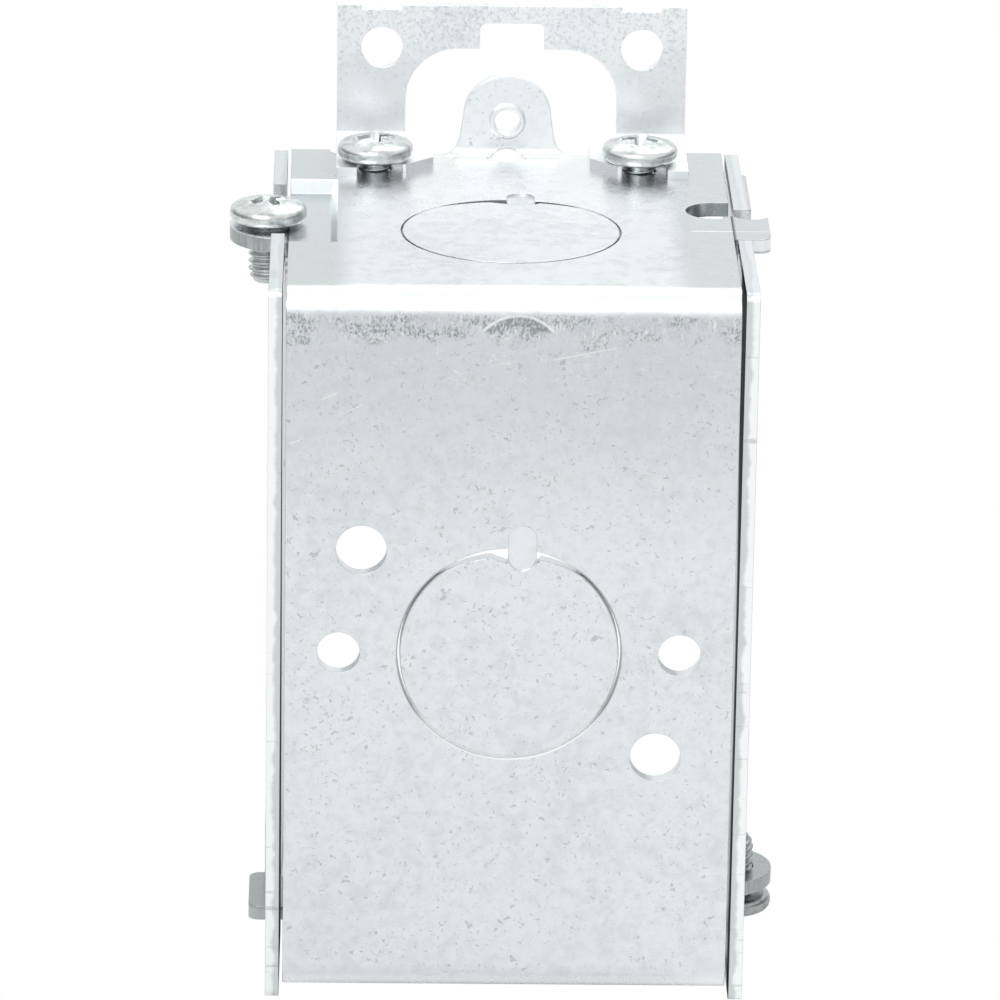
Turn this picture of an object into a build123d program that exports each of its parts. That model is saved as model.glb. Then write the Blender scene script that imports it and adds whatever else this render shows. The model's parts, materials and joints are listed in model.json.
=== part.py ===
from build123d import *
import os

os.makedirs("parts", exist_ok=True)

# Frame, in millimetres
# X runs across the box, Y from its back to its open front, and Z up.
# The origin is midway between the two device screw holes, on the front face of their tabs.

# Body, one folded sheet
body_width = 45.8
body_height = 75.8
body_depth = 51.4
sheet = 1.5
back_bend = 1.6
edge_recess = 1.3
corner_width = 4.1
corner_radius = 0.8

# Device tabs
device_rise = 3.77
device_hole = 2.8
collar_diameter = 3.9
collar_height = 0.45
collar_draft = 20.0
tab_radius = 4.7
tab_crown = 0.25
tab_foot_half = 5.3
tab_bend = 1.0
tab_root_fillet = 2.0
tab_plan_fillet = 1.2
tab_run = 6.0
relief_hole = 4.3
relief_drop = 1.4
relief_back = 2.2

# Knockouts
knockout_diameter = 22.8
knockout_gap = 0.22
knockout_lift = 0.1
slug_crown_radius = 14.3
slug_crown_cut = 0.9
slug_dip = 0.8
slug_dip_left = 2.2
slug_dip_right = 1.0
tie_width = 2.9
tie_length = 4.8
tie_offset = 1.2
tie_coining = 0.2
end_knockout_depth = 21.9

# Holes in the back, whose pattern sits a little below the middle
back_pattern_drop = 0.5
screw_hole = 4.4
screw_hole_spacing = 34.8
nail_hole = 5.2
nail_hole_x = 15.15
nail_hole_z = 11.1

# Screw lug and its pressed pocket, with depths measured forward from the back
gang_axis_out = 2.2
gang_depth = 28.9
pocket_width = 5.0
pocket_length = 22.7
press_angle = 25.0
press_wall = 0.9
lug_radius = 5.6
lug_centre_out = 0.6
lug_fillet = 2.8

# Hook tab and the notch beside it
hook_near = 19.7
hook_width = 9.8
hook_reach = 3.85
hook_corner = 1.2
notch_radius = 3.0
notch_inset = 1.6
notch_depth = 29.9
notch_run_out = 2.0

# Side plates
plate_gap = 0.4
plate_sheet = 1.4
plate_overlap = 0.45
plate_sag = 0.35
plate_corner = 1.0
plate_clearance = 0.6
swell_length = 13.5
swell_height = 8.0
swell_out = 0.45
swell_angle = 45.0
slot_clearance = 0.35
slot_below = 1.2

# Plaster ears, with depths measured back from the front edge of the box
ear_sheet = 0.95
ear_width = 37.2
ear_height = 15.6
ear_shift = 0.45
ear_standoff = 1.5
ear_bend = 0.95
ear_hole = 4.5
ear_hole_spacing = 27.7
ear_hole_height = 10.95
ear_opening_half = 11.3
ear_opening_height = 10.9
ear_opening_radius = 5.6
ear_notch_half = 3.45
ear_notch_height = 13.7
ear_notch_radius = 0.8
ear_dip = 0.5
ear_dip_width = 4.3
ear_foot_length = 10.1
ear_prong_length = 8.55
ear_prong_reach = 8.3
ear_prong_chamfer = 2.9
ear_prong_slant = 2.4
ear_slot_clearance = 0.65
ear_slide_in = 1.2

# Screws
ear_screw_spacing = 28.0
ear_screw_inset = 6.75
ear_screw_diameter = 3.5
ear_screw_length = 6.0
ear_screw_lift = 0.25
gang_screw_diameter = 4.1
gang_screw_length = 6.5
left_gang_lift = 0.35
right_gang_lift = 1.4
thread_clearance = 0.05
head_diameter = 8.0
head_height = 2.3
head_rim = 0.95
recess_length = 4.4
recess_width = 1.05
recess_depth = 1.3
recess_floor_length = 2.4
recess_floor_width = 0.7
recess_overrun = 0.3

# Places worked out from the sizes above
front_y = 0
back_y = front_y - body_depth
top_z = body_height / 2
edge_x = body_width / 2
tab_hole_z = top_z + device_rise
tab_end_z = tab_hole_z + tab_crown
tab_half = tab_foot_half + tab_root_fillet
gang_x = edge_x + gang_axis_out
gang_y = back_y + gang_depth
ear_screw_x = ear_screw_spacing / 2
ear_screw_y = front_y - ear_screw_inset
lug_top_z = top_z - sheet
through = 2 * body_height
HALF_TURNS = (0, 180)
TINY = 0.01


# Device tab, bent up from the front of an end

with BuildPart() as device_tab:
    with BuildSketch(Plane.YZ) as bend:
        with Locations((0, top_z - sheet)):
            Rectangle(tab_run, sheet, align=(Align.MAX, Align.MIN))
            Rectangle(sheet, tab_end_z, align=(Align.MAX, Align.MIN))
        fillet(bend.vertices().sort_by_distance((0, top_z - sheet))[0], tab_bend + sheet)
        fillet(bend.vertices().sort_by_distance((-sheet, top_z))[0], tab_bend)
    extrude(amount=tab_half, both=True)
    with BuildSketch(Plane.XZ) as outline:
        Polygon(
            (-tab_foot_half, top_z),
            (tab_foot_half, top_z),
            (tab_radius, tab_end_z),
            (-tab_radius, tab_end_z),
            align=None,
        )
        with Locations((0, top_z)):
            Rectangle(2 * tab_half, 2 * sheet, align=(Align.CENTER, Align.MAX))
        roots = outline.vertices().group_by(Axis.Y)[1].sort_by(Axis.X)
        fillet(roots[1:3], tab_root_fillet)
        with Locations((0, tab_end_z)):
            Circle(tab_radius)
    extrude(amount=through, both=True, mode=Mode.INTERSECT)
    with BuildSketch(Plane.XY) as plan:
        with Locations((0, front_y - edge_recess)):
            Rectangle(2 * tab_half, tab_run, align=(Align.CENTER, Align.MAX))
            Rectangle(2 * tab_foot_half, 2 * edge_recess, align=(Align.CENTER, Align.MIN))
        fillet(plan.vertices().group_by(Axis.Y)[1].sort_by(Axis.X)[1:3], tab_plan_fillet)
    extrude(amount=through, both=True, mode=Mode.INTERSECT)
    with BuildSketch(Plane.XZ.offset(sheet)):
        with Locations((0, tab_hole_z)):
            Circle(collar_diameter / 2)
    extrude(amount=collar_height, taper=collar_draft)

# Relief hole, which was punched across the tab's bend line before bending

with BuildPart() as tab_relief:
    with BuildSketch(Plane.XZ):
        with Locations((0, top_z - relief_drop)):
            Circle(relief_hole / 2)
    extrude(amount=sheet + tab_bend)
    with BuildSketch(Plane.XY.offset(top_z)):
        with Locations((0, -relief_back)):
            Circle(relief_hole / 2)
    extrude(amount=-2 * sheet)

# Screw lug, on the floor of a pocket pressed down by one sheet thickness

with BuildPart() as pocket_boss:
    with BuildSketch(Plane.XY.offset(top_z - sheet)):
        with Locations((-edge_x + pocket_width + press_wall, gang_y)):
            Rectangle(3 * pocket_width, pocket_length + 2 * press_wall, align=(Align.MAX, Align.CENTER))
    extrude(amount=-sheet, taper=press_angle)
    split(bisect_by=Plane.YZ.offset(-edge_x), keep=Keep.TOP)
    with BuildSketch(Plane.XY.offset(lug_top_z)) as lug:
        with Locations((-edge_x - lug_centre_out, gang_y)):
            Circle(lug_radius)
        with Locations((-edge_x, gang_y)):
            Rectangle(sheet, 2 * (lug_radius + lug_fillet), align=(Align.MIN, Align.CENTER))
        crossings = lug.vertices().filter_by(lambda corner: abs(corner.X + edge_x) < TINY)
        fillet(crossings.sort_by(Axis.Y)[1:3], lug_fillet)
    extrude(amount=-sheet)

with BuildPart() as pocket_hollow:
    with BuildSketch(Plane.XY.offset(top_z)):
        with Locations((-edge_x + pocket_width, gang_y)):
            Rectangle(3 * pocket_width, pocket_length, align=(Align.MAX, Align.CENTER))
    extrude(amount=-sheet, taper=press_angle)
    with Locations((-gang_x, gang_y, top_z)):
        Cylinder(gang_screw_diameter / 2 + thread_clearance, through)

# Hook tab, level with the end, and the notch that lets a neighbour's screw pass

hook_far_y = back_y + hook_near + hook_width
notch_x = edge_x - notch_inset
notch_y = back_y + notch_depth

with BuildPart() as hook_tab:
    with BuildSketch(Plane.XY.offset(top_z - sheet)) as hook:
        with Locations((edge_x + hook_reach, hook_far_y)):
            Rectangle(2 * hook_reach, hook_width, align=(Align.MAX, Align.MAX))
        fillet(hook.vertices().group_by(Axis.X)[-1], hook_corner)
    extrude(amount=sheet)

with BuildPart() as gang_notch:
    with BuildSketch(Plane.XY.offset(top_z)):
        with BuildLine():
            start = (notch_x, notch_y - notch_radius)
            end = (edge_x + notch_run_out, hook_far_y)
            middle = ((start[0] + end[0]) / 2, (start[1] + end[1]) / 2)
            far_edge = notch_y + notch_radius
            ThreePointArc((notch_x, far_edge), (notch_x - notch_radius, notch_y), start)
            near_arc = TangentArc(start, middle, tangent=(1, 0))
            TangentArc(middle, end, tangent=near_arc % 1)
            Polyline(
                end,
                (edge_x + 2 * hook_reach, hook_far_y),
                (edge_x + 2 * hook_reach, far_edge),
                (notch_x, far_edge),
            )
        make_face()
    extrude(amount=-2 * sheet)


def knockout_cut(outer_face, thickness):
    """Gap round a knockout, which widens beside its tie, and the coined oblong over the tie."""
    ring_radius = knockout_diameter / 2
    slug_top = ring_radius - slug_crown_cut
    with BuildPart() as cut:
        with BuildSketch(outer_face):
            Circle(ring_radius)
            with BuildSketch(mode=Mode.PRIVATE) as slug:
                with Locations((0, knockout_lift)):
                    Circle(ring_radius - knockout_gap)
                with Locations((0, slug_top - slug_crown_radius)):
                    Circle(slug_crown_radius, mode=Mode.INTERSECT)
            add(slug.sketch, mode=Mode.SUBTRACT)
            for side, run in ((-1, slug_dip_left), (1, slug_dip_right)):
                tie_edge = tie_offset + side * tie_width / 2
                Polygon(
                    (tie_edge, slug_top - slug_dip),
                    (tie_edge + side * run, slug_top),
                    (tie_edge, slug_top),
                    align=None,
                )
            with Locations((tie_offset, ring_radius)):
                Rectangle(tie_width, tie_length, mode=Mode.SUBTRACT)
        extrude(amount=-thickness)
        with BuildSketch(outer_face):
            with Locations((tie_offset, ring_radius)):
                SlotOverall(tie_length, tie_width, rotation=90)
        extrude(amount=-tie_coining)
    return cut.part


back_pattern = Plane((0, back_y, -back_pattern_drop), x_dir=(1, 0, 0), z_dir=(0, -1, 0))
back_knockout = knockout_cut(back_pattern, sheet)
end_knockout = knockout_cut(Plane((0, back_y + end_knockout_depth, top_z)), sheet)

# Body

with BuildPart() as body:
    with BuildSketch(Plane.YZ) as channel:
        with Locations((front_y, 0)):
            Rectangle(body_depth, body_height, align=(Align.MAX, Align.CENTER))
            Rectangle(
                body_depth - sheet,
                body_height - 2 * sheet,
                align=(Align.MAX, Align.CENTER),
                mode=Mode.SUBTRACT,
            )
        fillet(channel.vertices().group_by(Axis.X)[1], back_bend)
        fillet(channel.vertices().group_by(Axis.X)[0], back_bend + sheet)
    extrude(amount=edge_x, both=True)
    with BuildSketch(Plane.XY) as recess:
        with Locations((0, front_y)):
            Rectangle(body_width - 2 * corner_width, 2 * edge_recess)
        fillet(recess.vertices().group_by(Axis.Y)[0], corner_radius)
        with Locations((0, front_y)):
            Rectangle(2 * tab_half, tab_run, align=(Align.CENTER, Align.MAX))
    extrude(amount=through, both=True, mode=Mode.SUBTRACT)
    with BuildSketch(back_pattern):
        with Locations((screw_hole_spacing / 2, 0), (-screw_hole_spacing / 2, 0)):
            Circle(screw_hole / 2)
        with Locations((-nail_hole_x, nail_hole_z), (nail_hole_x, -nail_hole_z)):
            Circle(nail_hole / 2)
    extrude(amount=2 * sheet, both=True, mode=Mode.SUBTRACT)
    add(back_knockout, mode=Mode.SUBTRACT)
    for turn in HALF_TURNS:
        add(device_tab.part, rotation=(0, turn, 0))
        add(pocket_boss.part, rotation=(0, turn, 0))
        add(hook_tab.part, rotation=(0, turn, 0))
        add(tab_relief.part, rotation=(0, turn, 0), mode=Mode.SUBTRACT)
        add(pocket_hollow.part, rotation=(0, turn, 0), mode=Mode.SUBTRACT)
        add(gang_notch.part, rotation=(0, turn, 0), mode=Mode.SUBTRACT)
        add(end_knockout, rotation=(0, turn, 0), mode=Mode.SUBTRACT)
    with Locations((0, 0, tab_hole_z), (0, 0, -tab_hole_z)):
        Cylinder(device_hole / 2, 4 * sheet, rotation=(90, 0, 0), mode=Mode.SUBTRACT)
    with Locations((-ear_screw_x, ear_screw_y, 0), (ear_screw_x, ear_screw_y, 0)):
        Cylinder(ear_screw_diameter / 2 + thread_clearance, through, mode=Mode.SUBTRACT)

body.part.label = "body"
export_step(body.part, "parts/body.step")

# Side plates, notched round the screw lug and the hook tab, beside which the edge is swollen

plate_inner_x = edge_x + plate_gap
plate_outer_x = plate_inner_x + plate_sheet
plate_half = top_z + plate_overlap
screw_notch_half = lug_radius + lug_fillet + plate_clearance
screw_notch_z = lug_top_z - sheet - plate_clearance
hook_notch_z = top_z - sheet - plate_clearance
hook_notch_near = hook_far_y - hook_width - plate_clearance
hook_notch_far = hook_far_y + plate_clearance
shank_slot_width = gang_screw_diameter + 2 * slot_clearance
shank_slot_z = lug_top_z + left_gang_lift - gang_screw_length - slot_below
swell_centre_y = hook_far_y + swell_length / 2
outward = (-1, 0, 0)
outward_y = (0, -1, 0)

with BuildPart() as side_plate:
    with BuildSketch(Plane.YZ.offset(-plate_outer_x)) as blank:
        with Locations((back_y, 0)):
            Rectangle(body_depth, 2 * plate_half, align=(Align.MIN, Align.CENTER))
        fillet(blank.vertices(), plate_corner)
    extrude(amount=plate_sheet)
    with BuildSketch(Plane((-plate_outer_x, swell_centre_y, -plate_half), outward_y, outward)):
        Rectangle(swell_length, 2 * swell_height)
    extrude(amount=swell_out, taper=swell_angle)
    split(bisect_by=Plane.XY.offset(-plate_half), keep=Keep.TOP)
    with BuildSketch(Plane.YZ.offset(-plate_outer_x)):
        with Locations((gang_y, plate_half)):
            Rectangle(2 * screw_notch_half, 2 * (plate_half - screw_notch_z))
            Rectangle(shank_slot_width, 2 * (plate_half - shank_slot_z - shank_slot_width / 2))
        with Locations((gang_y, shank_slot_z + shank_slot_width / 2)):
            Circle(shank_slot_width / 2)
        with Locations(((hook_notch_near + hook_notch_far) / 2, -plate_half)):
            Rectangle(hook_notch_far - hook_notch_near, 2 * (plate_half - hook_notch_z))
    extrude(amount=2 * plate_sheet, both=True, mode=Mode.SUBTRACT)
    plate_face = Plane((-plate_outer_x, back_y + body_depth / 2, 0), outward_y, outward)
    add(knockout_cut(plate_face, plate_sheet), mode=Mode.SUBTRACT)

for side, turn in (("left", 0), ("right", 180)):
    with BuildPart() as placed_plate:
        add(side_plate.part, rotation=(0, turn, 0))
    sagged = Pos(0, 0, -plate_sag) * placed_plate.part
    sagged.label = f"{side}_side_plate"
    export_step(sagged, f"parts/{side}_side_plate.step")

# Plaster ears, angle brackets whose slotted feet are held down by two screws

ear_back_y = front_y + ear_standoff
ear_front_y = ear_back_y + ear_sheet
ear_half = ear_width / 2
ear_slot_width = ear_screw_diameter + 2 * ear_slot_clearance
ear_slot_end = ear_screw_y + ear_slide_in + ear_slot_width / 2
slot_near_x = ear_screw_x - ear_slot_width / 2
foot_y = front_y - ear_foot_length
prong_y = front_y - ear_prong_length

with BuildPart() as ear:
    with BuildSketch(Plane.YZ) as angle:
        with Locations((ear_front_y, top_z)):
            Rectangle(ear_front_y - foot_y, ear_sheet, align=(Align.MAX, Align.MIN))
            Rectangle(ear_sheet, ear_height, align=(Align.MAX, Align.MIN))
        fillet(angle.vertices().sort_by_distance((ear_front_y, top_z))[0], ear_bend + ear_sheet)
        fillet(angle.vertices().sort_by_distance((ear_back_y, top_z + ear_sheet))[0], ear_bend)
    extrude(amount=ear_half, both=True)
    with BuildSketch(Plane.XZ) as opening:
        with Locations((0, top_z)):
            Rectangle(2 * ear_opening_half, 2 * ear_opening_height)
        fillet(opening.vertices().group_by(Axis.Y)[-1], ear_opening_radius)
        with BuildSketch(mode=Mode.PRIVATE) as notch:
            with Locations((0, top_z)):
                Rectangle(2 * ear_notch_half, 2 * ear_notch_height)
            fillet(notch.vertices().group_by(Axis.Y)[-1], ear_notch_radius)
        add(notch.sketch)
        for hole_x in (-ear_hole_spacing / 2, ear_hole_spacing / 2):
            with Locations((hole_x, top_z + ear_hole_height)):
                Circle(ear_hole / 2)
            with Locations((hole_x, top_z + ear_height)):
                Rectangle(ear_dip_width, 2 * ear_dip)
    extrude(amount=-2 * ear_front_y, mode=Mode.SUBTRACT)
    with BuildSketch(Plane.XY.offset(top_z)):
        for turn_over in (1, -1):
            Polygon(
                (0, foot_y - ear_sheet),
                (turn_over * slot_near_x, foot_y - ear_sheet),
                (turn_over * slot_near_x, prong_y),
                (turn_over * (ear_prong_reach + ear_prong_chamfer), prong_y),
                (turn_over * ear_prong_reach, prong_y + ear_prong_chamfer),
                (turn_over * ear_prong_reach, ear_back_y - ear_prong_slant),
                (turn_over * ear_opening_half, ear_back_y + ear_sheet - ear_bend),
                (turn_over * ear_opening_half, ear_front_y + ear_sheet),
                (0, ear_front_y + ear_sheet),
                align=None,
            )
        with Locations((ear_screw_x, ear_slot_end), (-ear_screw_x, ear_slot_end)):
            Rectangle(ear_slot_width, ear_slot_end - foot_y + ear_sheet, align=(Align.CENTER, Align.MAX))
    extrude(amount=ear_sheet, mode=Mode.SUBTRACT)

for side, turn in (("top", 0), ("bottom", 180)):
    with BuildPart() as placed_ear:
        add(Pos(ear_shift, 0, 0) * ear.part, rotation=(0, turn, 0))
    placed_ear.part.label = f"{side}_ear"
    export_step(placed_ear.part, f"parts/{side}_ear.step")

# Screws, each made with its axis on Z and the underside of its head at the origin


def pan_screw(diameter, length, recess_turn):
    """A domed screw with a crossed recess turned about its axis."""
    radius = diameter / 2
    head_radius = head_diameter / 2
    with BuildPart() as screw:
        with BuildSketch(Plane.XZ):
            with BuildLine():
                Polyline(
                    (0, head_height),
                    (0, -length),
                    (radius, -length),
                    (radius, 0),
                    (head_radius, 0),
                    (head_radius, head_rim),
                )
                TangentArc((0, head_height), (head_radius, head_rim), tangent=(1, 0))
            make_face()
        revolve(axis=Axis.Z)
        with BuildSketch(Plane.XY.offset(head_height + recess_overrun)):
            Rectangle(recess_length, recess_width, rotation=recess_turn)
            Rectangle(recess_width, recess_length, rotation=recess_turn)
        with BuildSketch(Plane.XY.offset(head_height - recess_depth)):
            Rectangle(recess_floor_length, recess_floor_width, rotation=recess_turn)
            Rectangle(recess_floor_width, recess_floor_length, rotation=recess_turn)
        loft(ruled=True, mode=Mode.SUBTRACT)
    return screw.part


# Four screws through the ears' feet and two in the lugs, the lower ones upside down

ear_head_z = top_z + ear_sheet + ear_screw_lift
ear_recess_turns = {"left": 12, "right": 78}
gang_recess_turn = 30

for end, turn in (("top", 0), ("bottom", 180)):
    for side, across in (("left", -1), ("right", 1)):
        # The half turn about Y swaps left and right, so the lower screws start on the other side.
        start_x = across * ear_screw_x if end == "top" else -across * ear_screw_x
        screw = pan_screw(ear_screw_diameter, ear_screw_length, ear_recess_turns[side])
        with BuildPart() as ear_screw:
            add(Pos(start_x, ear_screw_y, ear_head_z) * screw, rotation=(0, turn, 0))
        ear_screw.part.label = f"{end}_{side}_ear_screw"
        export_step(ear_screw.part, f"parts/{end}_{side}_ear_screw.step")

for side, turn, lift in (("left", 0, left_gang_lift), ("right", 180, right_gang_lift)):
    screw = pan_screw(gang_screw_diameter, gang_screw_length, gang_recess_turn)
    with BuildPart() as gang_screw:
        add(Pos(-gang_x, gang_y, lug_top_z + lift) * screw, rotation=(0, turn, 0))
    gang_screw.part.label = f"{side}_side_screw"
    export_step(gang_screw.part, f"parts/{side}_side_screw.step")
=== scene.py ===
import json
import math
from collections import namedtuple

import bpy
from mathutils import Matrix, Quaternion, Vector


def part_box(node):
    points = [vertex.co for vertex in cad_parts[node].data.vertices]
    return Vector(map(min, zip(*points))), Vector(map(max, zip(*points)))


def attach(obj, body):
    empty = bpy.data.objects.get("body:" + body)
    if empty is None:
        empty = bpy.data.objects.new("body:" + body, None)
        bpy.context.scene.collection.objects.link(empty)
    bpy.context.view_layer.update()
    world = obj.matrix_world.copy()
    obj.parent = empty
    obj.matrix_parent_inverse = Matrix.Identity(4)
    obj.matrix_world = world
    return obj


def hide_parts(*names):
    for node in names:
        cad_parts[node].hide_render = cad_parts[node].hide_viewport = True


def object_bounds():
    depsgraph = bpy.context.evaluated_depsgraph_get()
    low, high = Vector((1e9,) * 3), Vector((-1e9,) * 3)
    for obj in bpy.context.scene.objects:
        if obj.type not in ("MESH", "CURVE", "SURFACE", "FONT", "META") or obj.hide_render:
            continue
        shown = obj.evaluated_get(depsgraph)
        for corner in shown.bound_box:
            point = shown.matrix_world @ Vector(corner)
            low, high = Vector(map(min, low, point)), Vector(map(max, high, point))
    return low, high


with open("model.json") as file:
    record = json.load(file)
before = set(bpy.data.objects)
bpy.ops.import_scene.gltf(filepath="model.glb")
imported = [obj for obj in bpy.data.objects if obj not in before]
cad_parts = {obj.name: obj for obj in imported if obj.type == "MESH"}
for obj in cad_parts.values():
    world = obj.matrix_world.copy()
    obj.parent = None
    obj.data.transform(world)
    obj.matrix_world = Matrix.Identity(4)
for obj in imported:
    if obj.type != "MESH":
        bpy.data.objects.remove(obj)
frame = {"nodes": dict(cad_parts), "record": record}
bounds_at_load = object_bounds()

MM = 0.001

# Places taken from the frame

body_back_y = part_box("body")[0].y
end_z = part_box("top_ear")[0].z
plate_low, plate_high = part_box("left_side_plate")
object_low_z = bounds_at_load[0].z

# Thickness of the body's sheet, the gap between it and each side plate, and the body's side from them

sheet_thickness = 1.5 * MM
plate_thickness = 1.4 * MM
plate_gap = 0.4 * MM
plate_inner_x = min(abs(plate_low.x), abs(plate_high.x))
edge_x = plate_inner_x - plate_gap

# Camera, solved from the photograph

camera_aim = Vector((-0.59, -23.88, 6.68)) * MM
camera_distance = 773.07 * MM
camera_azimuth = math.radians(-1.192)
camera_elevation = math.radians(18.867)
camera_roll = math.radians(-0.909)
camera_lens = 264.69
camera_sensor = 36
camera_clip = (0.05, 20)


# Helpers that add nodes

# A soft step: the values between which it runs, and the result before and after them
Step = namedtuple("Step", "start end before after")

# Noise: the size of its lumps in metres, and the factors by which its coordinates are stretched, small
# ones making it run long along their axis
Pattern = namedtuple(
    "Pattern", "size detail roughness distortion stretch", defaults=(2.0, 0.5, 0.0, None)
)


def rising(start, end, amount=1.0):
    """A soft step from nothing to an amount."""
    return Step(start, end, 0.0, amount)


def falling(start, end, amount=1.0):
    """A soft step from an amount to nothing."""
    return Step(start, end, amount, 0.0)


def add_node(tree, kind, inputs=None, **settings):
    """One node with its settings. Inputs are values, or sockets to link from."""
    node = tree.nodes.new(kind)
    for name, value in settings.items():
        setattr(node, name, value)
    for key, value in (inputs or {}).items():
        socket = node.inputs[key]
        if isinstance(value, bpy.types.NodeSocket):
            tree.links.new(value, socket)
        else:
            socket.default_value = value
    return node


def calc(tree, operation, *values, clamp=False):
    """A Math node's result."""
    inputs = dict(enumerate(values))
    return add_node(tree, "ShaderNodeMath", inputs, operation=operation, use_clamp=clamp).outputs[0]


def vector_calc(tree, operation, *values):
    """A Vector Math node's result, a number for a length or a product."""
    node = add_node(tree, "ShaderNodeVectorMath", dict(enumerate(values)), operation=operation)
    return node.outputs["Value"] if operation in ("LENGTH", "DOT_PRODUCT") else node.outputs["Vector"]


def chained(tree, operation, first, *others):
    """The operation carried on through all the values."""
    for value in others:
        first = calc(tree, operation, first, value)
    return first


def product(tree, *values):
    """All the values multiplied."""
    return chained(tree, "MULTIPLY", *values)


def largest(tree, *values):
    """The largest of the values."""
    return chained(tree, "MAXIMUM", *values)


def weighted(tree, values, weights):
    """The sum of the values times their weights."""
    return chained(tree, "ADD", *[product(tree, value, weight) for value, weight in zip(values, weights)])


def minus(tree, first, second):
    """The first value less the second."""
    return calc(tree, "SUBTRACT", first, second)


def inverse(tree, value):
    """One less the value."""
    return minus(tree, 1.0, value)


def absolute(tree, value):
    """The value without its sign."""
    return calc(tree, "ABSOLUTE", value)


def swing(tree, value, amount):
    """A noise's distance from its middle, times an amount."""
    return product(tree, minus(tree, value, 0.5), amount)


def smooth(tree, value, step):
    """The result of a soft step at a value."""
    inputs = {
        "Value": value,
        "From Min": step.start,
        "From Max": step.end,
        "To Min": step.before,
        "To Max": step.after,
    }
    return add_node(tree, "ShaderNodeMapRange", inputs, interpolation_type="SMOOTHSTEP").outputs["Result"]


def noise(tree, where, pattern):
    """A pattern's noise at a place."""
    if pattern.stretch:
        inputs = {"Vector": where, "Scale": pattern.stretch}
        where = add_node(tree, "ShaderNodeMapping", inputs).outputs["Vector"]
    inputs = {
        "Vector": where,
        "Scale": 1.0 / pattern.size,
        "Detail": pattern.detail,
        "Roughness": pattern.roughness,
        "Distortion": pattern.distortion,
    }
    return add_node(tree, "ShaderNodeTexNoise", inputs).outputs["Fac"]


def mix_number(tree, factor, low, high):
    """A number between two others."""
    return add_node(tree, "ShaderNodeMix", {0: factor, 2: low, 3: high}, data_type="FLOAT").outputs[0]


def mix_colour(tree, factor, first, second):
    """A colour between two others."""
    return add_node(tree, "ShaderNodeMix", {0: factor, 6: first, 7: second}, data_type="RGBA").outputs[2]


def joined(tree, *parts):
    """A vector from up to three numbers."""
    return add_node(tree, "ShaderNodeCombineXYZ", dict(enumerate(parts))).outputs[0]


def parted(tree, vector):
    """A vector's three numbers."""
    return add_node(tree, "ShaderNodeSeparateXYZ", {0: vector}).outputs


def new_material(name):
    """An empty node material and its tree."""
    material = bpy.data.materials.new(name)
    material.use_nodes = True
    material.node_tree.nodes.clear()
    return material, material.node_tree


def object_place(tree):
    """Object coordinates, and their X, Y and Z."""
    where = add_node(tree, "ShaderNodeTexCoord").outputs["Object"]
    x, y, z = parted(tree, where)
    return where, x, y, z


def flat_offset(tree, x, z, start):
    """A vector in the XZ plane from a start to the place."""
    return joined(tree, minus(tree, x, start[0]), minus(tree, z, start[1]))


def finish_metal(tree, colour, roughness, height, bump_distance, edge_radius, gap_shade=0.0):
    """A metal surface with softened edges, dark and matt where painted shade fills a gap."""
    eased = add_node(tree, "ShaderNodeBevel", {"Radius": edge_radius}, samples=edge_samples)
    bump = add_node(
        tree,
        "ShaderNodeBump",
        {"Strength": 1.0, "Distance": bump_distance, "Height": height, "Normal": eased.outputs["Normal"]},
    )
    metal = add_node(
        tree,
        "ShaderNodeBsdfPrincipled",
        {"Base Color": colour, "Metallic": 1.0, "Roughness": roughness, "Normal": bump.outputs["Normal"]},
    )
    dark = add_node(tree, "ShaderNodeBsdfDiffuse", {"Color": GAP_SHADE, "Roughness": 1.0})
    inputs = {0: gap_shade, 1: metal.outputs["BSDF"], 2: dark.outputs["BSDF"]}
    surface = add_node(tree, "ShaderNodeMixShader", inputs)
    add_node(tree, "ShaderNodeOutputMaterial", {"Surface": surface.outputs[0]})


# Finishes

ZINC_BRIGHT = (0.930, 0.950, 0.960, 1)
ZINC_PALE = (0.800, 0.832, 0.850, 1)
ZINC_GREY = (0.700, 0.735, 0.752, 1)
SHADE_GREY = (0.560, 0.600, 0.610, 1)
# Flecks and nicks, and the painted shadow at the hook tabs' foot
SPECK_AND_SHADOW_GREY = (0.380, 0.415, 0.420, 1)
# Worn scuffs, and the painted shade at the knockout ring's sides
SCUFF_AND_SHADE_GREY = (0.300, 0.335, 0.340, 1)
CUT_STEEL = (0.650, 0.682, 0.690, 1)
# The lug rims, and the painted shade on the lower hook tab and lug
LUG_AND_SHADE_GREY = (0.300, 0.325, 0.325, 1)
SCREW_ZINC = (0.720, 0.750, 0.748, 1)
SCREW_GREY = (0.480, 0.510, 0.505, 1)
# Painted shade below the screw heads and on the lower side screw
SCREW_SHADE_GREY = (0.380, 0.408, 0.404, 1)
SCREW_SHADE_DARK = (0.220, 0.240, 0.237, 1)
# Painted shade for the gaps beside the side plates
GAP_SHADE = (0.018, 0.021, 0.023, 1)

edge_samples = 6
sheet_relief = 0.03 * MM

# Flecks: how many times larger their crowds are, how strongly those gather them, and how soft their
# rims are

crowd_size = 9
crowd_strength = 0.16
fleck_softness = 0.02


def speckle(tree, where, size, share):
    """Scattered small flecks, 1 inside a fleck. A larger share makes more of them."""
    fleck = noise(tree, where, Pattern(size, detail=3.0, roughness=0.62, distortion=0.6))
    crowd = noise(tree, where, Pattern(size * crowd_size, detail=1.0))
    level = calc(tree, "ADD", fleck, swing(tree, crowd, crowd_strength))
    edge = 1.0 - share
    return smooth(tree, level, rising(edge - fleck_softness, edge + fleck_softness))


# The worn band: how far below the upper end it starts and ends, and how ragged its lower edge is

scuff_start = 1.7 * MM
scuff_end = 4.6 * MM
raggedness = 7 * MM
band_top = rising(scuff_start, scuff_start + 0.3 * MM)
band_bottom = falling(scuff_end - 0.4 * MM, scuff_end + 0.8 * MM)

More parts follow.
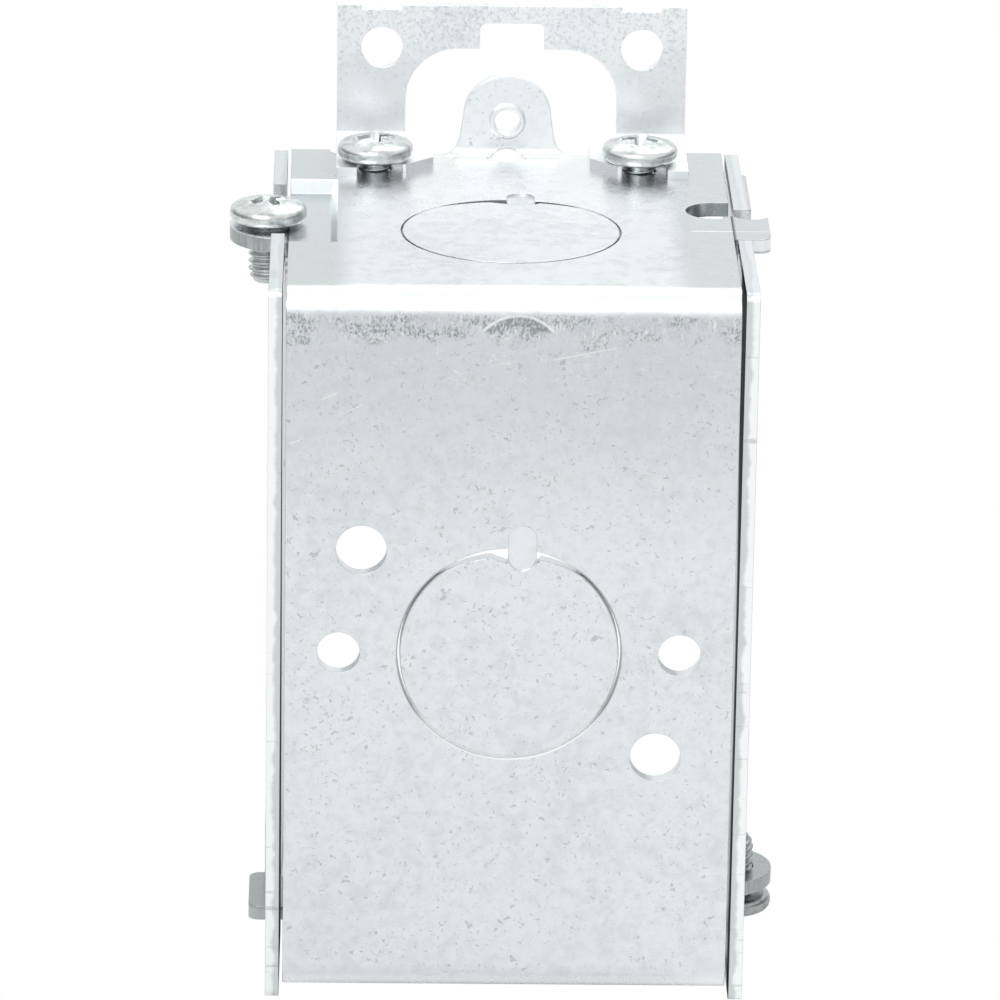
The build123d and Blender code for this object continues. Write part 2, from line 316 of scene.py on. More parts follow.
band_wander = Pattern(2.2 * MM, detail=3.0, roughness=0.6)
band_grit = Pattern(0.26 * MM, detail=3.0, roughness=0.8, stretch=(1.0, 1.0, 0.7))
band_patches = Pattern(2.8 * MM, detail=3.0, roughness=0.6)
worn_grit = rising(0.46, 0.60)
more_at_left = Step(-8 * MM, 14 * MM, 0.06, -0.04)
worn_patches = Step(0.43, 0.56, 0.22, 1.0)

# The arc that crosses it: middle, radius, how low it reaches, the crescent below its rim, and the rim

die_arc_middle = (0.45 * MM, end_z - 6.9 * MM)
die_arc_radius = 4.6 * MM
die_arc_reach = falling(3.7 * MM, 4.3 * MM)
crescent_start = rising(0.1 * MM, 0.25 * MM)
crescent_end = falling(1.0 * MM, 1.7 * MM)
crescent_grit = Step(0.38, 0.55, 0.15, 1.0)
rim_width = falling(0.06 * MM, 0.18 * MM)
rim_breaks = Step(0.36, 0.62, 0.25, 0.75)

# Light streaks in it, and light strokes below it

band_streaks = Pattern(0.42 * MM, detail=3.0, roughness=0.7, stretch=(1.0, 1.0, 0.22))
bright_streaks = rising(0.58, 0.68, 0.6)
stroke_lines = Pattern(1.0 * MM, detail=3.0, distortion=0.6, stretch=(0.4, 1.0, 1.0))
stroke_width = falling(0.004, 0.014, 0.30)
stroke_patches = rising(0.42, 0.56)
strokes_start = rising(scuff_end - 1 * MM, scuff_end)
strokes_end = falling(9 * MM, 12 * MM)


def scuffed_band(tree, where, x, z, from_end):
    """Die marks below the upper back bend: how worn the coating is, and where it is scraped bright."""
    on_upper = calc(tree, "GREATER_THAN", z, 0.0)
    wander = noise(tree, where, band_wander)
    grit = noise(tree, where, band_grit)
    patches = noise(tree, where, band_patches)
    ragged = calc(tree, "ADD", from_end, swing(tree, wander, raggedness))
    band = product(tree, smooth(tree, from_end, band_top), smooth(tree, ragged, band_bottom))
    crowded = calc(tree, "ADD", patches, smooth(tree, x, more_at_left))
    worn = product(tree, smooth(tree, grit, worn_grit), smooth(tree, crowded, worn_patches), band)

    # An arc left by the knockout's die crosses the band, bright above and worn below
    from_middle = flat_offset(tree, x, z, die_arc_middle)
    inward = minus(tree, die_arc_radius, vector_calc(tree, "LENGTH", from_middle))
    in_reach = smooth(tree, from_end, die_arc_reach)
    crescent = product(
        tree,
        smooth(tree, inward, crescent_start),
        smooth(tree, inward, crescent_end),
        in_reach,
        smooth(tree, grit, crescent_grit),
    )
    on_rim = smooth(tree, absolute(tree, inward), rim_width)
    rim = product(tree, on_rim, in_reach, smooth(tree, wander, rim_breaks))
    worn = product(tree, largest(tree, worn, crescent), inverse(tree, rim))

    # Light strokes run down through the band and lie about below it
    streaks = product(tree, smooth(tree, noise(tree, where, band_streaks), bright_streaks), band)
    off_stroke = absolute(tree, minus(tree, noise(tree, where, stroke_lines), 0.5))
    strokes = product(
        tree,
        smooth(tree, off_stroke, stroke_width),
        smooth(tree, patches, stroke_patches),
        smooth(tree, from_end, strokes_start),
        smooth(tree, from_end, strokes_end),
    )
    bright = largest(tree, streaks, rim, strokes)
    return product(tree, worn, on_upper), product(tree, bright, on_upper)


# Light scratches on the back, each from one place to another in X and Z

scratches = (
    ((3.9 * MM, 31.0 * MM), (10.3 * MM, 32.3 * MM)),
    ((-19.3 * MM, 26.6 * MM), (-17.6 * MM, 27.3 * MM)),
    ((-16.7 * MM, 25.3 * MM), (-15.3 * MM, 26.0 * MM)),
    ((-22.5 * MM, 21.9 * MM), (-21.4 * MM, 22.3 * MM)),
)
scratch_width = falling(0.02 * MM, 0.11 * MM, 0.45)


def scratched(tree, x, z, start, end):
    """How bright a thin scratch from start to end is, both given in X and Z."""
    run = Vector((end[0] - start[0], end[1] - start[1], 0))
    from_start = flat_offset(tree, x, z, start)
    reached = vector_calc(tree, "DOT_PRODUCT", from_start, run)
    along = calc(tree, "DIVIDE", reached, run.length_squared, clamp=True)
    nearest = add_node(tree, "ShaderNodeVectorMath", {0: run, "Scale": along}, operation="SCALE")
    off_scratch = vector_calc(tree, "SUBTRACT", from_start, nearest.outputs["Vector"])
    return smooth(tree, vector_calc(tree, "LENGTH", off_scratch), scratch_width)


# The body's coating

sheet_clouds = Pattern(14 * MM, detail=3.0, roughness=0.55)
sheet_spangle = Pattern(1.6 * MM, detail=3.0, distortion=0.4)
sheet_mottle = Pattern(0.6 * MM, detail=3.0, roughness=0.7)
sheet_grain = Pattern(0.28 * MM, stretch=(0.08, 1.0, 1.0))
sheet_tone_weights = (0.4, 0.6)
sheet_tones = rising(0.30, 0.60)
large_flecks = (0.8 * MM, 0.335)
small_flecks = (0.42 * MM, 0.34)
small_fleck_strength = 0.9
faint_mottle = rising(0.46, 0.66, 0.18)

# How strong its flecks are and how rough it is, on the ends and elsewhere, and what makes it uneven

fleck_strengths = (0.06, 0.52)
body_roughness = (0.28, 0.42)
body_roughness_swing = 0.22
fleck_roughness = 0.10
body_height_weights = (0.10, 1.0, -0.18, -0.25)
body_edge_radius = 0.16 * MM

# How far from the outer face a place still is on it, where the back bend is, and where the tabs start

face_depth = falling(0.02 * MM, 0.2 * MM)
bend_from_back = falling(2.4 * MM, 3.4 * MM)
bend_from_end = falling(1.2 * MM, 2.2 * MM)
tab_start = falling(-0.9 * MM, -0.4 * MM)

# Painted light towards the front of the ends, and painted shade high up on the back, along the ends'
# sides and on the walls of the screw lugs' pockets

end_front_light = rising(20 * MM, 38 * MM, 0.56)
upper_back = rising(6 * MM, 32 * MM)
end_sides = rising(15.5 * MM, 18.5 * MM)
pocket_reach = 5.1 * MM
pocket_wall_x = rising(edge_x - pocket_reach, edge_x - pocket_reach + 0.1 * MM)
pocket_wall_depth = rising(0.05 * MM, 0.3 * MM)
pocket_wall_y = rising(5 * MM, 6 * MM)
upper_back_shade = 0.56
end_side_shade = 0.86
pocket_wall_shade = 0.85

# The pressed line beside each hook tab, painted as a highlight: how far it is from the back, how far out
# it starts, and its width

hook_line_y = 22.5 * MM
hook_line_x = 18.6 * MM
hook_line_width = falling(0.06 * MM, 0.2 * MM)

# The ring round the back knockout, with painted highlight and shade, and the levels above and below its
# middle between which they change

knockout_middle = (0.0, -0.5 * MM)
knockout_radius = 11.3 * MM
ring_width = falling(0.16 * MM, 0.30 * MM)
ring_depth = falling(sheet_thickness, sheet_thickness + 0.1 * MM)
ring_highlight_below = falling(-9 * MM, -6 * MM)
ring_shade_above = rising(-8 * MM, -5 * MM, 0.75)
ring_shade_below = falling(8 * MM, 10 * MM)

# The hook tabs and screw lugs, which stand out beyond the side, and the painted light and shade on them

beyond_edge = rising(edge_x + 0.1 * MM, edge_x + 0.4 * MM)
lug_face_depth = rising(sheet_thickness + 0.02 * MM, sheet_thickness + 0.15 * MM)
hook_foot_depth = rising(sheet_thickness - 0.35 * MM, sheet_thickness - 0.15 * MM)
hook_top_shade = 0.45
hook_side_light = 0.7
hook_foot_shade = 0.7
lug_top_light = 0.5
low_end_shade = 0.7
rim_stripes = Pattern(0.3 * MM, detail=3.0, roughness=0.7, stretch=(1.0, 1.0, 0.1))
rim_stripe_dull = Step(0.3, 0.6, 0.5, 0.9)

# The painted shade on the cut edges beside the plates, which darkens the gap

cut_edge_x = rising(edge_x - 0.03 * MM, edge_x - 0.01 * MM)
cut_edge_shade = 0.7


def galvanised_sheet():
    """Pale zinc-coated sheet with grey flecks and a scuffed band under the upper back bend."""
    material, tree = new_material("galvanised_sheet")
    where, x, y, z = object_place(tree)
    outward_x = absolute(tree, x)
    from_back = minus(tree, y, body_back_y)
    from_end = minus(tree, end_z, absolute(tree, z))
    on_back = smooth(tree, from_back, face_depth)
    on_end = smooth(tree, from_end, face_depth)
    on_tab = smooth(tree, from_end, tab_start)
    on_back_or_tab = largest(tree, on_back, on_tab)

    clouds = noise(tree, where, sheet_clouds)
    spangle = noise(tree, where, sheet_spangle)
    tone = weighted(tree, (clouds, spangle), sheet_tone_weights)
    colour = mix_colour(tree, smooth(tree, tone, sheet_tones), ZINC_GREY, ZINC_PALE)

    # Brighter on the tabs, painted light on the ends and a painted highlight on the bends, and painted
    # shade on the ends' sides, high up on the back and on the pockets' walls
    bend_highlight = product(
        tree, smooth(tree, from_back, bend_from_back), smooth(tree, from_end, bend_from_end)
    )
    end_light = product(tree, on_end, smooth(tree, from_back, end_front_light))
    colour = mix_colour(tree, largest(tree, end_light, on_tab, bend_highlight), colour, ZINC_BRIGHT)
    shade = largest(
        tree,
        product(tree, smooth(tree, z, upper_back), on_back, upper_back_shade),
        product(tree, smooth(tree, outward_x, end_sides), on_end, end_side_shade),
        product(
            tree,
            smooth(tree, outward_x, pocket_wall_x),
            smooth(tree, from_end, pocket_wall_depth),
            smooth(tree, from_back, pocket_wall_y),
            pocket_wall_shade,
        ),
    )
    colour = mix_colour(tree, shade, colour, SHADE_GREY)

    # A painted highlight draws the pressed line that crosses the end beside each hook tab
    diagonal = product(tree, x, z)
    off_line = absolute(tree, minus(tree, from_back, hook_line_y))
    beside_hook = calc(tree, "GREATER_THAN", diagonal, hook_line_x * end_z)
    hook_line_highlight = product(tree, smooth(tree, off_line, hook_line_width), beside_hook, on_end)
    colour = mix_colour(tree, hook_line_highlight, colour, ZINC_BRIGHT)

    # Flecks, faint on the ends
    flecks = largest(
        tree,
        speckle(tree, where, *large_flecks),
        product(tree, speckle(tree, where, *small_flecks), small_fleck_strength),
        smooth(tree, noise(tree, where, sheet_mottle), faint_mottle),
    )
    fleck_amount = product(tree, flecks, mix_number(tree, on_back_or_tab, *fleck_strengths))
    colour = mix_colour(tree, fleck_amount, colour, SPECK_AND_SHADOW_GREY)

    # The scuffed band and the scratches
    worn, scraped = scuffed_band(tree, where, x, z, from_end)
    scuff = product(tree, worn, on_back)
    colour = mix_colour(tree, scuff, colour, SCUFF_AND_SHADE_GREY)
    scraped = largest(tree, scraped, *[scratched(tree, x, z, start, end) for start, end in scratches])
    colour = mix_colour(tree, product(tree, scraped, on_back), colour, ZINC_BRIGHT)

    # The ring round the back knockout has painted shade at its sides and a painted highlight below
    level = minus(tree, z, knockout_middle[1])
    from_knockout = vector_calc(tree, "LENGTH", flat_offset(tree, x, z, knockout_middle))
    off_ring = absolute(tree, minus(tree, from_knockout, knockout_radius))
    at_ring = product(tree, smooth(tree, off_ring, ring_width), smooth(tree, from_back, ring_depth))
    ring_highlight = product(tree, at_ring, smooth(tree, level, ring_highlight_below))
    ring_shade = product(
        tree, at_ring, smooth(tree, level, ring_shade_above), smooth(tree, level, ring_shade_below)
    )
    colour = mix_colour(tree, ring_highlight, colour, ZINC_BRIGHT)
    colour = mix_colour(tree, ring_shade, colour, SCUFF_AND_SHADE_GREY)

    # The hook tabs get painted shade on top and painted light on their sides, a painted shadow darkens
    # their foot, and painted light makes the screw lugs lighter on top
    beyond_side = smooth(tree, outward_x, beyond_edge)
    on_lug = calc(tree, "LESS_THAN", diagonal, 0.0)
    below_face = smooth(tree, from_end, lug_face_depth)
    lug = product(tree, beyond_side, on_lug)
    hook = product(tree, beyond_side, inverse(tree, on_lug))
    colour = mix_colour(tree, product(tree, hook, on_end, hook_top_shade), colour, SHADE_GREY)
    hook_side_and_lug_light = largest(
        tree,
        product(tree, hook, inverse(tree, on_end), hook_side_light),
        product(tree, lug, inverse(tree, below_face), lug_top_light),
    )
    colour = mix_colour(tree, hook_side_and_lug_light, colour, ZINC_BRIGHT)
    hook_foot_shadow = product(tree, hook, smooth(tree, from_end, hook_foot_depth), hook_foot_shade)
    colour = mix_colour(tree, hook_foot_shadow, colour, SPECK_AND_SHADOW_GREY)

    # The screw lugs' rims are dull and striped across, and painted shade darkens the lower hook tab and
    # lug
    stripes = noise(tree, where, rim_stripes)
    rim_dull = product(tree, lug, below_face, smooth(tree, stripes, rim_stripe_dull))
    low_painted_shade = product(tree, beyond_side, calc(tree, "LESS_THAN", z, 0.0), low_end_shade)
    colour = mix_colour(tree, largest(tree, rim_dull, low_painted_shade), colour, LUG_AND_SHADE_GREY)

    rough = mix_number(tree, on_back_or_tab, *body_roughness)
    rough = calc(tree, "ADD", rough, swing(tree, tone, body_roughness_swing))
    rough = calc(tree, "ADD", rough, product(tree, flecks, fleck_roughness), clamp=True)
    grain = noise(tree, where, sheet_grain)
    height = weighted(tree, (grain, clouds, fleck_amount, scuff), body_height_weights)

    # Painted shade darkens the cut edges beside the plates, in the gap
    at_side = smooth(tree, outward_x, cut_edge_x)
    gap_shade = product(tree, at_side, inverse(tree, beyond_side), cut_edge_shade)
    finish_metal(tree, colour, rough, height, sheet_relief, body_edge_radius, gap_shade)
    return material


# The side plates' coating

plate_clouds = Pattern(12 * MM, detail=3.0, roughness=0.55)
plate_spangle = Pattern(3.0 * MM, distortion=0.4)
plate_tone_weights = (0.6, 0.4)
plate_tones = rising(0.36, 0.64)
plate_flecks = (1.0 * MM, 0.33)
plate_fleck_strength = 0.45
plate_top_shade = rising(plate_high.z - 0.2 * MM, plate_high.z - 0.08 * MM, 0.8)

# Their cut edges, where 0 is the inner face and 1 the outer one

edge_from_inside = rising(0.01, 0.04)
edge_to_outside = falling(0.96, 0.99)
edge_lines = Pattern(0.5 * MM, stretch=(0.15, 0.15, 1.0))
edge_wander = Pattern(2.2 * MM, detail=3.0, stretch=(0.3, 0.3, 1.0))
edge_nicks = Pattern(1.0 * MM, detail=3.0, roughness=0.7, stretch=(0.1, 0.1, 1.0))
torn_wander = 0.9
torn_line_weight = 0.16
torn_part = falling(0.36, 0.70)
dark_nicks = rising(0.62, 0.70, 0.5)

# The painted shade behind their back edge, in the gap: how deep it goes, away from the hook tab and at
# it, on the left and right plate, how strong it is there and beyond, and over what depth it fades

inner_face = falling(0.005, 0.02)
left_shade_depth = Step(-end_z, end_z, 4 * MM, 17 * MM)
right_shade_depth = Step(0.0, end_z, 2.5 * MM, 9 * MM)
gap_shade_fade = Step(0.0, 3.5 * MM, 0.94, 0.06)

# The swelling beside the hook tab, whose flanks run out softly, and the radius of edges away from it
# and on it

outer_face = 0.98
swelling_z = 28 * MM
plate_edge_radii = (0.18 * MM, 1.1 * MM)

# How rough their faces and cut edges are, and what makes them uneven

plate_roughness = (0.34, 0.46)
plate_roughness_swing = 0.2
plate_height_weights = (1.2, 0.5, -1.0)


def plate_sheet_finish():
    """The same sheet on the side plates, whose cut edges face the back."""
    material, tree = new_material("side_plate_sheet")
    where, x, y, z = object_place(tree)
    across = calc(tree, "DIVIDE", minus(tree, absolute(tree, x), plate_inner_x), plate_thickness)

    clouds = noise(tree, where, plate_clouds)
    spangle = noise(tree, where, plate_spangle)
    tone = weighted(tree, (clouds, spangle), plate_tone_weights)
    face = mix_colour(tree, smooth(tree, tone, plate_tones), ZINC_GREY, ZINC_PALE)
    flecks = product(tree, speckle(tree, where, *plate_flecks), plate_fleck_strength)
    face = mix_colour(tree, flecks, face, SPECK_AND_SHADOW_GREY)

    # A sheared edge: bright near the outside, torn and duller near the inside, with marks across it
    on_edge = product(tree, smooth(tree, across, edge_from_inside), smooth(tree, across, edge_to_outside))
    lines = noise(tree, where, edge_lines)
    boundary = calc(tree, "ADD", across, swing(tree, noise(tree, where, edge_wander), torn_wander))
    boundary = calc(tree, "ADD", boundary, product(tree, lines, torn_line_weight))
    torn = smooth(tree, boundary, torn_part)
    edge = mix_colour(tree, torn, ZINC_BRIGHT, CUT_STEEL)
    edge = mix_colour(tree, smooth(tree, noise(tree, where, edge_nicks), dark_nicks), edge, SPECK_AND_SHADOW_GREY)
    colour = mix_colour(tree, on_edge, face, edge)
    # Painted shade along the plate's top end
    colour = mix_colour(tree, smooth(tree, z, plate_top_shade), colour, SHADE_GREY)

    # Painted shade on the inner face, close behind its back edge and deepest beside the hook tab, darkens
    # the gap
    towards_hook = product(tree, calc(tree, "SIGN", x), z)
    left_depth = smooth(tree, towards_hook, left_shade_depth)
    right_depth = smooth(tree, towards_hook, right_shade_depth)
    shade_depth = mix_number(tree, calc(tree, "LESS_THAN", x, 0.0), right_depth, left_depth)
    past_shade = minus(tree, minus(tree, y, body_back_y), shade_depth)
    gap_shade = product(tree, smooth(tree, across, inner_face), smooth(tree, past_shade, gap_shade_fade))

    # The flanks of the swelling beside the hook tab run out softly
    on_swelling = product(
        tree,
        calc(tree, "GREATER_THAN", across, outer_face),
        calc(tree, "GREATER_THAN", towards_hook, swelling_z),
    )
    edge_radius = mix_number(tree, on_swelling, *plate_edge_radii)

    rough = mix_number(tree, on_edge, *plate_roughness)
    rough = calc(tree, "ADD", rough, swing(tree, tone, plate_roughness_swing), clamp=True)
    height = weighted(tree, (clouds, lines, product(tree, torn, on_edge)), plate_height_weights)
    finish_metal(tree, colour, rough, height, sheet_relief, edge_radius, gap_shade)
    return material


# The ears' coating, with painted light towards their foot, and flecks closest together towards the free
# end

ear_clouds = Pattern(6 * MM, detail=3.0, roughness=0.6)
ear_mottle = Pattern(0.7 * MM, detail=3.0, roughness=0.65, distortion=0.8)
ear_fleck_pattern = Pattern(0.4 * MM, detail=4.0, roughness=0.66, distortion=0.6)
ear_tone_weights = (0.45, 0.55)
ear_tones = rising(0.34, 0.58)
ear_foot_light = falling(7 * MM, 12 * MM, 0.72)
ear_crowding = Step(5 * MM, 15 * MM, -0.02, 0.08)
ear_flecks = rising(0.58, 0.68)
ear_fleck_strength = 0.36
ear_roughness = 0.44
ear_roughness_swing = 0.3
ear_height_weights = (1.0, 0.35)
ear_edge_radius = 0.12 * MM


def ear_sheet_finish():
    """Thinner sheet with a coarser, mottled coating."""
    material, tree = new_material("ear_sheet")
    where, _, _, z = object_place(tree)
    beyond_end = minus(tree, absolute(tree, z), end_z)
    clouds = noise(tree, where, ear_clouds)
    mottle = noise(tree, where, ear_mottle)
    tone = weighted(tree, (clouds, mottle), ear_tone_weights)
    # Painted light brightens the ear towards its foot
    bright = largest(tree, smooth(tree, tone, ear_tones), smooth(tree, beyond_end, ear_foot_light))
    colour = mix_colour(tree, bright, ZINC_PALE, ZINC_BRIGHT)

    fleck = noise(tree, where, ear_fleck_pattern)
    level = calc(tree, "ADD", fleck, smooth(tree, beyond_end, ear_crowding))
    flecks = product(tree, smooth(tree, level, ear_flecks), ear_fleck_strength)
    colour = mix_colour(tree, flecks, colour, SPECK_AND_SHADOW_GREY)
    rough = calc(tree, "ADD", ear_roughness, swing(tree, tone, ear_roughness_swing), clamp=True)
    height = weighted(tree, (clouds, mottle), ear_height_weights)
    finish_metal(tree, colour, rough, height, sheet_relief, ear_edge_radius)
    return material


# The screws' plating

screw_mottle = Pattern(1.1 * MM, detail=3.0, roughness=0.55)
screw_fine = Pattern(0.2 * MM)
screw_tones = rising(0.44, 0.68)
below_head_shade = falling(end_z - 1.6 * MM, end_z - 1.1 * MM, 0.5)
screw_roughness = 0.2
screw_mottle_roughness = 0.2
screw_height_weights = (0.4, 0.2)
screw_relief = 0.008 * MM
screw_edge_radius = 0.05 * MM


def zinc_screw_finish(name, pale, grey):
    """Zinc-plated screw, mottled grey, and darker below its head with painted shade."""
    material, tree = new_material(name)
    where, _, _, z = object_place(tree)
    mottle = noise(tree, where, screw_mottle)
    fine = noise(tree, where, screw_fine)
    colour = mix_colour(tree, smooth(tree, mottle, screw_tones), pale, grey)
    colour = mix_colour(tree, smooth(tree, absolute(tree, z), below_head_shade), colour, SCREW_SHADE_GREY)
    uneven = product(tree, mottle, screw_mottle_roughness)
    rough = calc(tree, "ADD", screw_roughness, uneven, clamp=True)
    height = weighted(tree, (mottle, fine), screw_height_weights)
    finish_metal(tree, colour, rough, height, screw_relief, screw_edge_radius)
    return material


# Screws: diameter and length of the shanks, and how far their recesses are turned

ear_screw_names = (
    "top_left_ear_screw",
    "top_right_ear_screw",
    "bottom_left_ear_screw",
    "bottom_right_ear_screw",
)
gang_screw_names = ("left_side_screw", "right_side_screw")

ear_screw_size = (3.5 * MM, 6.0 * MM)
gang_screw_size = (4.1 * MM, 6.5 * MM)
left_ear_screw_turn = math.radians(12)
right_ear_screw_turn = math.radians(78)
gang_screw_turn = math.radians(30)

# The pan head, and the points on its arcs

head_radius = 4.0 * MM
head_height = 2.3 * MM
underside_round = 0.7 * MM
shoulder_round = 0.8 * MM
dome_slope = math.radians(19)
rim_top = 0.96 * MM
underside_points = 6
shoulder_points = 8
dome_points = 12

# The tip and the thread: where it stops under the head, its groove over half a turn, and its depth
# faded out where the shank narrows

tip_inset = 0.6 * MM
tip_rise = 0.8 * MM
thread_pitch = 25.4 * MM / 32
thread_depth = 0.38 * MM
thread_top = -0.1 * MM
thread_groove = rising(0.03, 0.44)
thread_fade = falling(0.05 * MM, 0.55 * MM)

# The crossed recess, cut from above the head, and the burrs round it

recess_length = 4.4 * MM
recess_width = 1.05 * MM
recess_floor_length = 2.4 * MM
recess_floor_width = 0.7 * MM
recess_depth = 1.3 * MM
recess_overshoot = 0.3 * MM
burr_height = 0.16 * MM
burr_reach = falling(0.02 * MM, 0.30 * MM)
burr_pattern = Pattern(1.1 * MM)
burr_breaks = rising(0.42, 0.66)

screw_segments = 96
screw_rows = 320
weld_distance = 0.0005 * MM
sharp_angle = math.radians(34)


def arc_points(middle, radius, first, last, count):
    """Points along an arc, both ends included."""
    steps = [first + (last - first) * i / count for i in range(count + 1)]
    return [(middle[0] + radius * math.cos(a), middle[1] + radius * math.sin(a)) for a in steps]


def head_outline():
    """Half of a pan head: rounded underside, upright rim, round shoulder and a shallow dome."""
    quarter = math.pi / 2
    shoulder_end = head_radius - shoulder_round * (1 - math.sin(dome_slope))
    dome_radius = shoulder_end / math.sin(dome_slope)
    underside_middle = (head_radius - underside_round, underside_round)
    shoulder_middle = (head_radius - shoulder_round, rim_top)
    dome_middle = (0, head_height - dome_radius)
    return [
        *arc_points(underside_middle, underside_round, -quarter, 0, underside_points),
        *arc_points(shoulder_middle, shoulder_round, 0, quarter - dome_slope, shoulder_points),
        *arc_points(dome_middle, dome_radius, quarter - dome_slope, quarter, dome_points)[1:],
    ]


def screw_profile(name, diameter, length):
    """Half of the screw's section, from its tip to the top of its head, as a curve in the XZ plane."""
    radius = diameter / 2
    outline = [
        (0, -length),
        (radius - tip_inset, -length),
        (radius, tip_rise - length),
        (radius, 0),
        *head_outline(),
    ]
    curve = bpy.data.curves.new(name, "CURVE")
    curve.dimensions = "3D"
    spline = curve.splines.new("POLY")
    spline.points.add(len(outline) - 1)
    for point, (r, z) in zip(spline.points, outline):
        point.co = (r, 0, z, 1)
    return curve


def screw_inputs(tree):
    """Gives the tree its sockets, and returns those that come in."""
    interface = tree.interface
    interface.new_socket("Geometry", in_out="INPUT", socket_type="NodeSocketGeometry")
    for name, value in (
        ("Thread Pitch", thread_pitch),
        ("Thread Depth", thread_depth),
        ("Thread Top", thread_top),
        ("Shank Radius", ear_screw_size[0] / 2),
        ("Recess Turn", 0.0),
        ("Burr Height", burr_height),
    ):
        socket = interface.new_socket(name, in_out="INPUT", socket_type="NodeSocketFloat")
        socket.default_value = value
    interface.new_socket("Geometry", in_out="OUTPUT", socket_type="NodeSocketGeometry")
    return add_node(tree, "NodeGroupInput").outputs


def turned_skin(tree, given):
    """The profile turned round Z, with its thread and the burrs round its recess."""
    # A grid whose X is the turn and whose Y runs along the profile
    grid = add_node(
        tree,
        "GeometryNodeMeshGrid",
        {"Size X": 1.0, "Size Y": 1.0, "Vertices X": screw_segments + 1, "Vertices Y": screw_rows + 1},
    )
    turn, row, _ = parted(tree, add_node(tree, "GeometryNodeInputPosition").outputs[0])
    angle = product(tree, turn, 2 * math.pi)
    along = calc(tree, "ADD", row, 0.5, clamp=True)
    inputs = {"Curves": given["Geometry"], "Factor": along}
    sample = add_node(tree, "GeometryNodeSampleCurve", inputs, mode="FACTOR")
    radius, _, height = parted(tree, sample.outputs["Position"])

    # Thread: a rounded V that climbs one pitch a turn, faded out at the tip and under the head
    turns = minus(tree, calc(tree, "DIVIDE", height, given["Thread Pitch"]), turn)
    groove = smooth(tree, calc(tree, "PINGPONG", turns, 0.5), thread_groove)
    below_head = calc(tree, "LESS_THAN", height, given["Thread Top"])
    near_surface = smooth(tree, minus(tree, given["Shank Radius"], radius), thread_fade)
    cut = product(tree, groove, below_head, near_surface, given["Thread Depth"])
    threaded = minus(tree, radius, cut)

    # Burrs: the rim of the recess stands up a little, here and there
    from_recess = minus(tree, angle, given["Recess Turn"])
    flat_x = product(tree, radius, calc(tree, "COSINE", from_recess))
    flat_y = product(tree, radius, calc(tree, "SINE", from_recess))
    off_arms = [
        largest(tree, minus(tree, lengthways, recess_length / 2), minus(tree, sideways, recess_width / 2))
        for lengthways, sideways in (
            (absolute(tree, flat_x), absolute(tree, flat_y)),
            (absolute(tree, flat_y), absolute(tree, flat_x)),
        )
    ]
    lip = smooth(tree, calc(tree, "MINIMUM", *off_arms), burr_reach)
    on_head = calc(tree, "GREATER_THAN", height, rim_top)
    rag = smooth(tree, noise(tree, joined(tree, flat_x, flat_y), burr_pattern), burr_breaks)
    lift = product(tree, lip, on_head, rag, given["Burr Height"])

    turned = joined(
        tree,
        product(tree, threaded, calc(tree, "COSINE", angle)),
        product(tree, threaded, calc(tree, "SINE", angle)),
        calc(tree, "ADD", height, lift),
    )
    inputs = {"Geometry": grid.outputs["Mesh"], "Position": turned}
    skin = add_node(tree, "GeometryNodeSetPosition", inputs)
    inputs = {"Geometry": skin.outputs[0], "Distance": weld_distance}
    return add_node(tree, "GeometryNodeMergeByDistance", inputs).outputs[0]


def recess_bar(tree, heading):
    """One bar of the crossed recess, which narrows towards its floor."""
    bar = add_node(tree, "GeometryNodeMeshCube", {"Size": (1.0, 1.0, 1.0)})
    x, y, z = parted(tree, add_node(tree, "GeometryNodeInputPosition").outputs[0])
    up = calc(tree, "ADD", z, 0.5)
    length = mix_number(tree, up, recess_floor_length, recess_length)
    width = mix_number(tree, up, recess_floor_width, recess_width)
    level = mix_number(tree, up, head_height - recess_depth, head_height + recess_overshoot)
    tapered = joined(tree, product(tree, x, length), product(tree, y, width), level)
    inputs = {"Geometry": bar.outputs["Mesh"], "Position": tapered}
    shaped = add_node(tree, "GeometryNodeSetPosition", inputs)
    inputs = {"Geometry": shaped.outputs[0], "Rotation": joined(tree, 0.0, 0.0, heading)}
    return add_node(tree, "GeometryNodeTransform", inputs).outputs[0]


def screw_tree(material):
    """Turns a profile round Z, cuts a helical thread below the head and a crossed recess into it."""
    tree = bpy.data.node_groups.new("turned_screw", "GeometryNodeTree")
    given = screw_inputs(tree)
    skin = turned_skin(tree, given)
    carved = add_node(
        tree, "GeometryNodeMeshBoolean", {"Mesh 1": skin}, operation="DIFFERENCE", solver="EXACT"
    )
    for quarter in (0.0, math.pi / 2):
        bar = recess_bar(tree, calc(tree, "ADD", given["Recess Turn"], quarter))
        tree.links.new(bar, carved.inputs["Mesh 2"])

    inputs = {"Geometry": carved.outputs["Mesh"], "Shade Smooth": True}
    smoothed = add_node(tree, "GeometryNodeSetShadeSmooth", inputs)
    bend = add_node(tree, "GeometryNodeInputMeshEdgeAngle").outputs["Unsigned Angle"]
    is_sharp = calc(tree, "GREATER_THAN", bend, sharp_angle)
    inputs = {"Geometry": smoothed.outputs[0], "Selection": is_sharp, "Shade Smooth": False}
    creased = add_node(tree, "GeometryNodeSetShadeSmooth", inputs, domain="EDGE")
    real = add_node(tree, "GeometryNodeRealizeInstances", {"Geometry": creased.outputs[0]})
    inputs = {"Geometry": real.outputs[0], "Material": material}
    coated = add_node(tree, "GeometryNodeSetMaterial", inputs)
    add_node(tree, "NodeGroupOutput", {"Geometry": coated.outputs[0]})
    return tree


def input_name(tree, label):
    """The identifier of a tree's input, which a modifier's setting goes by."""
    sockets = tree.interface.items_tree
    return next(s.identifier for s in sockets if s.name == label and s.in_out == "INPUT")


